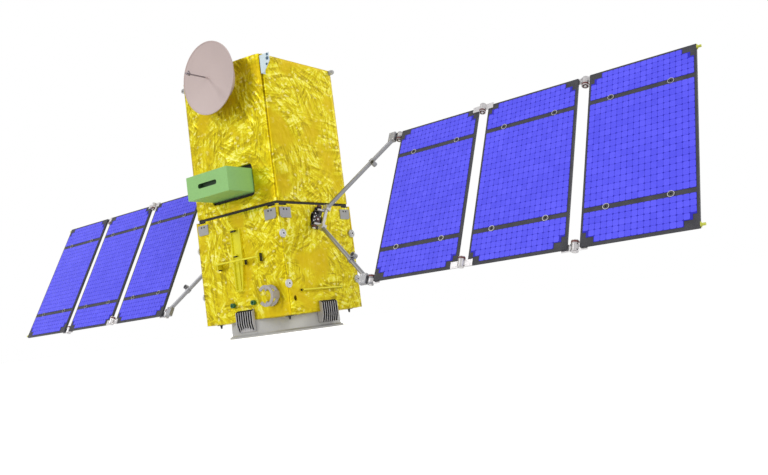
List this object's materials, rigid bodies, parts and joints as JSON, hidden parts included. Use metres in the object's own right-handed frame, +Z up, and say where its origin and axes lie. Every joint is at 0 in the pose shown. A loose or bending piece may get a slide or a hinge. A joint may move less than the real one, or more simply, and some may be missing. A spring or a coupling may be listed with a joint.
{
  "type": "satellite",
  "caption": "Box-bodied Earth-observation satellite with folding solar wings, dish antenna, camera housing and adapter ring.",
  "frame": {"origin": "centre of the adapter ring at its bottom face, on the floor", "axes": "+X along the solar wings, -Y out of the wall with the antenna and the camera housing, +Z up from the adapter ring to the top panel"},
  "size_m": [7.46, 1.345, 2.547],
  "materials": {
    "ring_grey": "satin light grey",
    "dark_structure": "matt dark",
    "gold_foil": "crinkled gold foil",
    "bracket_grey": "matt grey",
    "camera_green": "satin green",
    "antenna_paint": "matt pale pink grey",
    "feed_metal": "satin",
    "gold_bar": "gloss yellow gold",
    "plug_green": "satin dark green",
    "thruster_gold": "satin",
    "black_anodised": "matt black",
    "hinge_metal": "satin",
    "yoke_tube": "satin grey",
    "panel_black": "satin black",
    "solar_cells": "blue cells under cover glass",
    "sensor_yellow": "satin"
  },
  "bodies": {
    "root": {"adapter_ring": "ring_grey", "antenna_dish": "antenna_paint", "antenna_drum": "antenna_paint", "antenna_feed": "feed_metal", "attitude_thrusters": "plug_green", "camera_housing": "camera_green", "corner_plates": "bracket_grey", "deck_feet": "black_anodised", "drive_housings": "black_anodised", "equipment_rails": "gold_bar", "holddown_pads": "bracket_grey", "lower_deck": "gold_foil", "lower_front_panel": "gold_foil", "lower_left_panel": "gold_foil", "lower_rear_panel": "gold_foil", "lower_right_panel": "gold_foil", "lower_structure": "dark_structure", "orbit_thrusters": "thruster_gold", "ring_brackets": "ring_grey", "separation_frame": "dark_structure", "service_plugs": "plug_green", "top_lugs": "bracket_grey", "top_panel": "gold_foil", "umbilical_bracket": "bracket_grey", "upper_front_panel": "gold_foil", "upper_left_panel": "gold_foil", "upper_rear_panel": "gold_foil", "upper_right_panel": "gold_foil", "upper_structure": "dark_structure"},
    "right_drive": {"right_drive_hub": "hinge_metal"},
    "right_yoke": {"right_yoke_base": "hinge_metal", "right_yoke_upper_arm": "yoke_tube", "right_yoke_lower_arm": "yoke_tube"},
    "right_wing_1": {"right_panel_1": "panel_black", "right_panel_1_cells": "solar_cells", "right_panel_1_fittings": "hinge_metal"},
    "right_wing_2": {"right_panel_2": "panel_black", "right_panel_2_cells": "solar_cells", "right_panel_2_fittings": "hinge_metal"},
    "right_wing_3": {"right_panel_3": "panel_black", "right_panel_3_cells": "solar_cells", "right_panel_3_fittings": "hinge_metal", "right_tip_sensors": "sensor_yellow"},
    "left_drive": {"left_drive_hub": "hinge_metal"},
    "left_yoke": {"left_yoke_base": "hinge_metal", "left_yoke_upper_arm": "yoke_tube", "left_yoke_lower_arm": "yoke_tube"},
    "left_wing_1": {"left_panel_1": "panel_black", "left_panel_1_cells": "solar_cells", "left_panel_1_fittings": "hinge_metal"},
    "left_wing_2": {"left_panel_2": "panel_black", "left_panel_2_cells": "solar_cells", "left_panel_2_fittings": "hinge_metal"},
    "left_wing_3": {"left_panel_3": "panel_black", "left_panel_3_cells": "solar_cells", "left_panel_3_fittings": "hinge_metal", "left_tip_sensors": "sensor_yellow"}
  },
  "joints": [
    {"name": "right_drive_turn", "type": "hinge", "parent": "root", "child": "right_drive", "pos_m": [0.5, 0, 0.927], "axis": [1, 0, 0], "continuous": true},
    {"name": "right_yoke_fold", "type": "hinge", "parent": "right_drive", "child": "right_yoke", "pos_m": [0.53, -0.03074, 0.94374], "axis": [0, -0.4782, -0.8782], "range_deg": [0, 90]},
    {"name": "right_panel_1_fold", "type": "hinge", "parent": "right_yoke", "child": "right_wing_1", "pos_m": [1.24, 0.01757, 0.91744], "axis": [0, 0.4782, 0.8782], "range_deg": [0, 180]},
    {"name": "right_panel_2_fold", "type": "hinge", "parent": "right_wing_1", "child": "right_wing_2", "pos_m": [2.075, -0.01757, 0.93656], "axis": [0, -0.4782, -0.8782], "range_deg": [0, 180]},
    {"name": "right_panel_3_fold", "type": "hinge", "parent": "right_wing_2", "child": "right_wing_3", "pos_m": [2.91, 0.01757, 0.91744], "axis": [0, 0.4782, 0.8782], "range_deg": [0, 180]},
    {"name": "left_drive_turn", "type": "hinge", "parent": "root", "child": "left_drive", "pos_m": [-0.5, 0, 0.927], "axis": [1, 0, 0], "continuous": true},
    {"name": "left_yoke_fold", "type": "hinge", "parent": "left_drive", "child": "left_yoke", "pos_m": [-0.53, -0.03074, 0.94374], "axis": [0, 0.4782, 0.8782], "range_deg": [0, 90]},
    {"name": "left_panel_1_fold", "type": "hinge", "parent": "left_yoke", "child": "left_wing_1", "pos_m": [-1.24, 0.01757, 0.91744], "axis": [0, -0.4782, -0.8782], "range_deg": [0, 180]},
    {"name": "left_panel_2_fold", "type": "hinge", "parent": "left_wing_1", "child": "left_wing_2", "pos_m": [-2.075, -0.01757, 0.93656], "axis": [0, 0.4782, 0.8782], "range_deg": [0, 180]},
    {"name": "left_panel_3_fold", "type": "hinge", "parent": "left_wing_2", "child": "left_wing_3", "pos_m": [-2.91, 0.01757, 0.91744], "axis": [0, -0.4782, -0.8782], "range_deg": [0, 180]}
  ],
  "couplings": [
    {"joint": "right_panel_1_fold", "follows": "right_yoke_fold", "ratio": 2},
    {"joint": "right_panel_2_fold", "follows": "right_yoke_fold", "ratio": 2},
    {"joint": "right_panel_3_fold", "follows": "right_yoke_fold", "ratio": 2},
    {"joint": "left_panel_1_fold", "follows": "left_yoke_fold", "ratio": 2},
    {"joint": "left_panel_2_fold", "follows": "left_yoke_fold", "ratio": 2},
    {"joint": "left_panel_3_fold", "follows": "left_yoke_fold", "ratio": 2}
  ]
}
